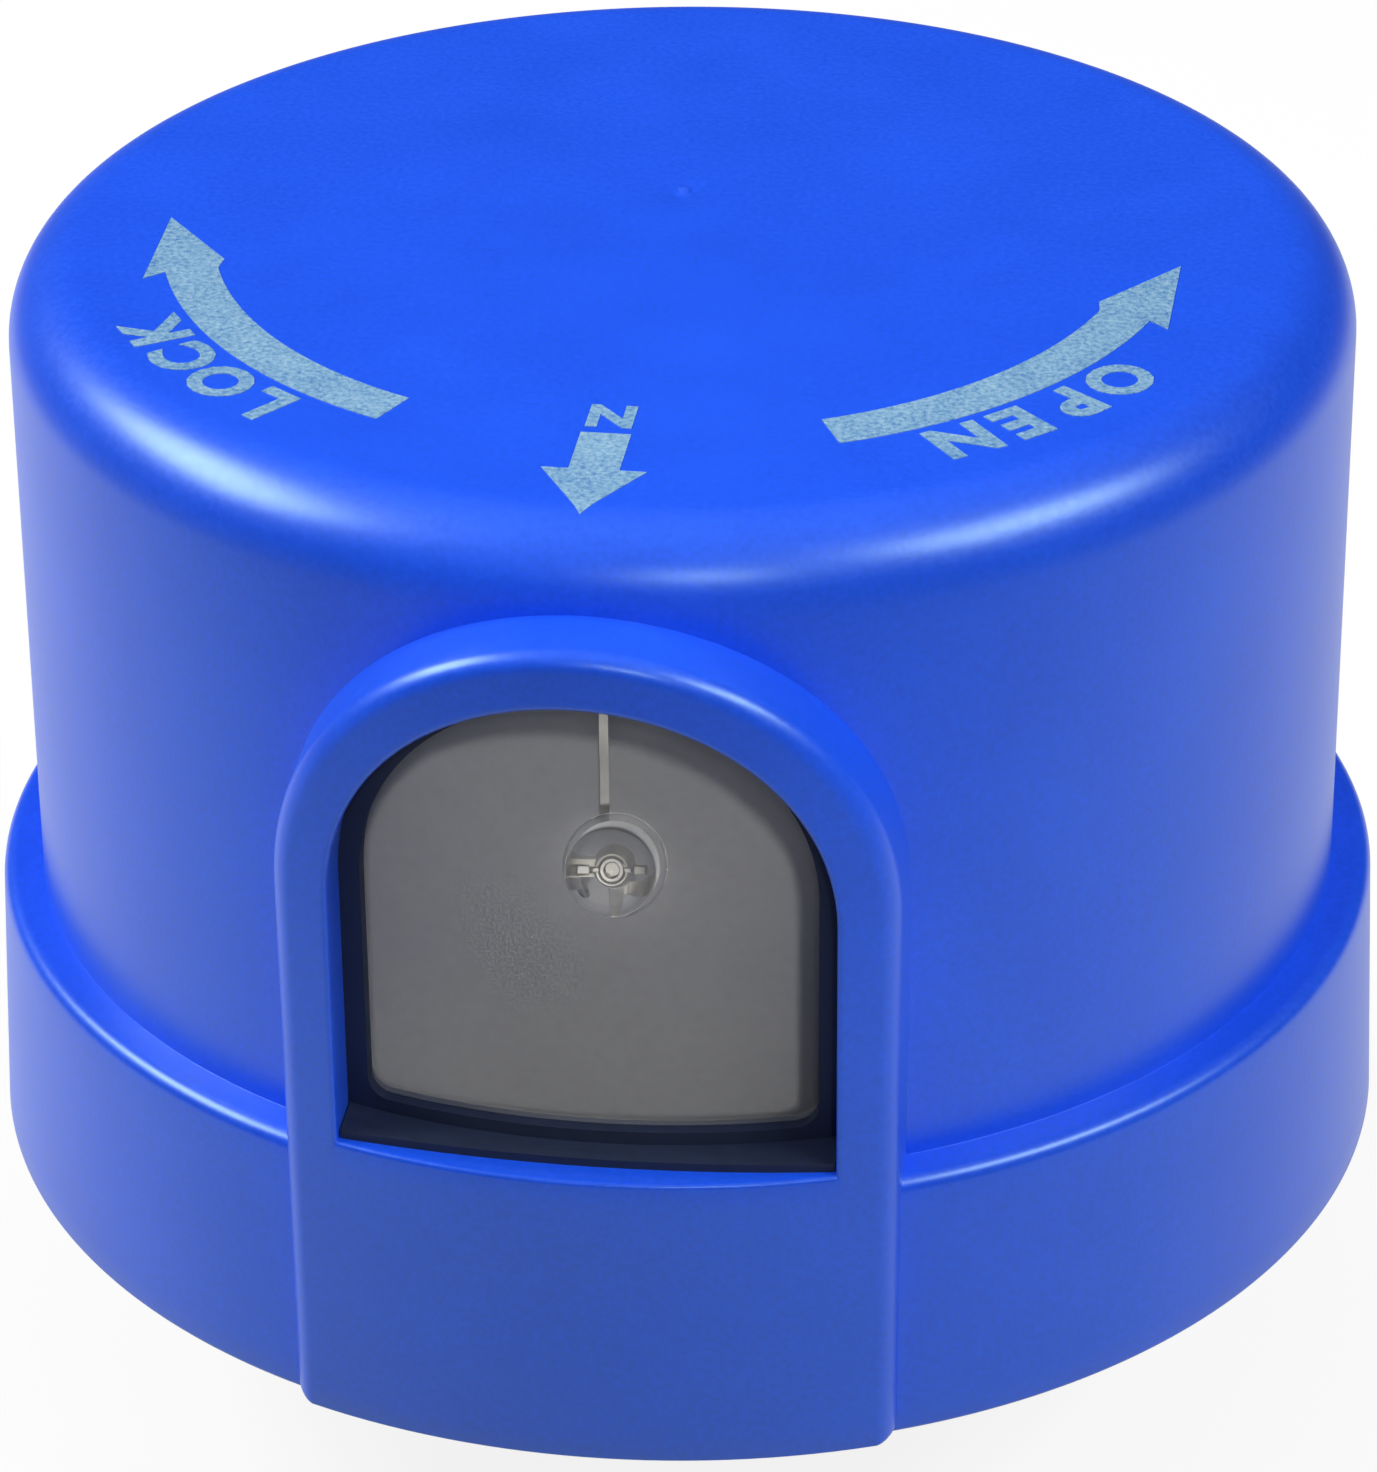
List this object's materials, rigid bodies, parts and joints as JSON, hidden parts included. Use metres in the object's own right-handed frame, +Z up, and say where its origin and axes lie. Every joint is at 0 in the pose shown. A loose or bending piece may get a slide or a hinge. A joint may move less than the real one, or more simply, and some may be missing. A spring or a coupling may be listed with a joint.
{
  "type": "photocell switch",
  "caption": "Twist-lock photocell switch: blue domed cover with a framed arched side window, round base, foam gasket and curved brass contact blades",
  "frame": {"origin": "centre of the gasket's sealing face, which lies on the receptacle", "axes": "+Z up the cover's axis, -Y the way the window looks, +X to the right of the window seen from the front"},
  "size_m": [0.084, 0.0852, 0.072],
  "materials": {
    "cover_plastic": "satin moulded blue polypropylene",
    "seal_rubber": "matt black",
    "lens_clear": "clear moulded polycarbonate",
    "base_plastic": "satin moulded black",
    "gasket_foam": "closed-cell foam",
    "blade_brass": "stamped brass strip",
    "shield_plastic": "matt grey sheet",
    "board_laminate": "solder-masked laminate",
    "screw_steel": "zinc plated",
    "sensor_epoxy": "clear cast epoxy",
    "tinned_lead": "tinned wire",
    "relay_case": "moulded case",
    "film_case": "moulded yellow case",
    "varistor_coat": "dipped epoxy coat",
    "can_sleeve": "shrunk sleeve",
    "resistor_coat": "flameproof coat",
    "device_epoxy": "moulded epoxy",
    "film_resistor_coat": "dipped coat",
    "line_insulation": "wire insulation",
    "load_insulation": "wire insulation",
    "neutral_insulation": "wire insulation",
    "solder": "bright solder"
  },
  "bodies": {
    "root": {"cover": "cover_plastic", "window_seal": "seal_rubber", "window_lens": "lens_clear", "base": "base_plastic", "gasket": "gasket_foam", "line_blade": "blade_brass", "load_blade": "blade_brass", "neutral_blade": "blade_brass", "blade_rivets": "blade_brass", "light_shield": "shield_plastic", "circuit_board": "board_laminate", "board_screws": "screw_steel", "photo_sensor": "sensor_epoxy", "sensor_leads": "tinned_lead", "relay": "relay_case", "relay_pins": "tinned_lead", "film_capacitor": "film_case", "film_capacitor_leads": "tinned_lead", "varistor": "varistor_coat", "varistor_leads": "tinned_lead", "electrolytic_capacitor": "can_sleeve", "electrolytic_leads": "tinned_lead", "power_resistor": "resistor_coat", "power_resistor_leads": "tinned_lead", "diodes": "device_epoxy", "diode_leads": "tinned_lead", "signal_resistors": "film_resistor_coat", "signal_resistor_leads": "tinned_lead", "switch_transistor": "device_epoxy", "transistor_leads": "tinned_lead", "line_wire": "line_insulation", "load_wire": "load_insulation", "neutral_wire": "neutral_insulation", "solder_joints": "solder"}
  },
  "joints": []
}
